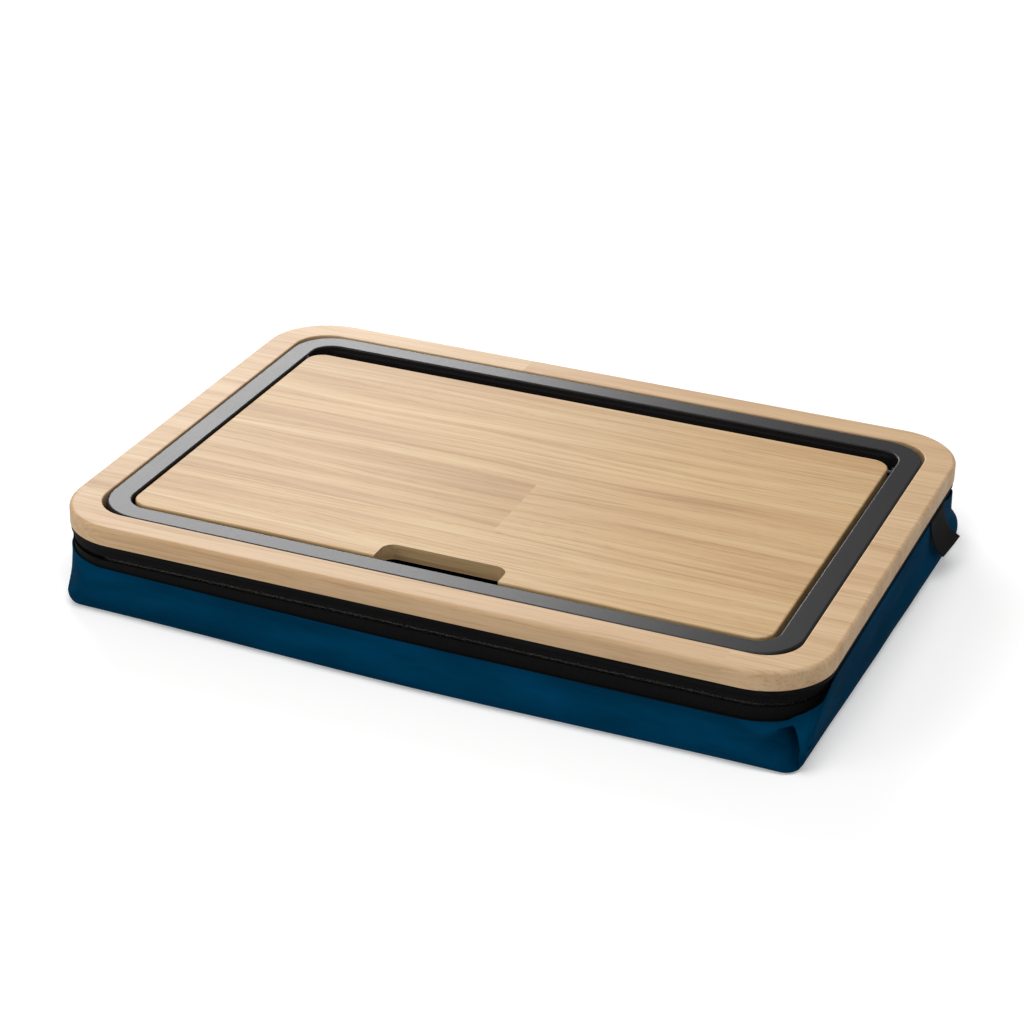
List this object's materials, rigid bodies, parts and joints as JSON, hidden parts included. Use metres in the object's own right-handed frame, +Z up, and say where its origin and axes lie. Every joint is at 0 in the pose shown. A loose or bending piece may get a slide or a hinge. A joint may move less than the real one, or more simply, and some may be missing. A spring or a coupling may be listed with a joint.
{
  "type": "lap desk with lift lid",
  "caption": "Lap desk: a wooden frame and moulded tray with a hinged wooden lid over a storage space, on a zipped fabric cushion.",
  "frame": {"origin": "centre of the footprint, on the surface that the cushion lies on", "axes": "+X along the long side to the right of the user, +Y away from the user, +Z up"},
  "size_m": [0.4956, 0.3771, 0.054],
  "materials": {
    "frame_wood": "clear matt lacquer",
    "lid_wood": "clear matt lacquer",
    "board_black": "black stain",
    "tray_plastic": "fine satin texture",
    "bush_plastic": "plain",
    "bumper_rubber": "matt",
    "screw_steel": "zinc plated",
    "zip_tape": "woven tape",
    "zip_chain": "nylon coil",
    "zip_metal": "black",
    "cover_fabric": "smooth coated weave",
    "pad_foam": "plain",
    "label_weave": "fine weave, bare"
  },
  "bodies": {
    "base": {"ring_frame": "frame_wood", "base_board": "board_black", "frame_screws": "screw_steel", "tray": "tray_plastic", "tray_screws": "screw_steel", "lid_bumpers": "bumper_rubber", "hinge_bush_left": "bush_plastic", "hinge_bush_right": "bush_plastic", "zip_collar": "zip_tape", "zip_chain_upper": "zip_chain", "zip_chain_lower": "zip_chain", "zip_lower_tape": "zip_tape", "rear_gusset": "zip_tape", "zip_end_stops": "zip_metal", "pouch": "cover_fabric", "cushion_insert": "pad_foam", "woven_label": "label_weave"},
    "lid": {"lid_panel": "lid_wood", "hinge_pin_left": "screw_steel", "hinge_pin_right": "screw_steel"},
    "slider": {"zip_slider": "zip_metal"},
    "pull": {"zip_pull": "zip_metal"}
  },
  "joints": [
    {"name": "lid_hinge", "type": "hinge", "parent": "base", "child": "lid", "pos_m": [0, 0.1159, 0.049], "axis": [-1, 0, 0], "range_deg": [0, 100]},
    {"name": "zip_slide", "type": "slide", "parent": "base", "child": "slider", "axis": [0, -1, 0], "range_m": [0, 0.215]},
    {"name": "zip_pull_swing", "type": "hinge", "parent": "slider", "child": "pull", "pos_m": [-0.2461, 0.1075, 0.032], "axis": [0, 0, 1], "range_deg": [0, 170]}
  ]
}
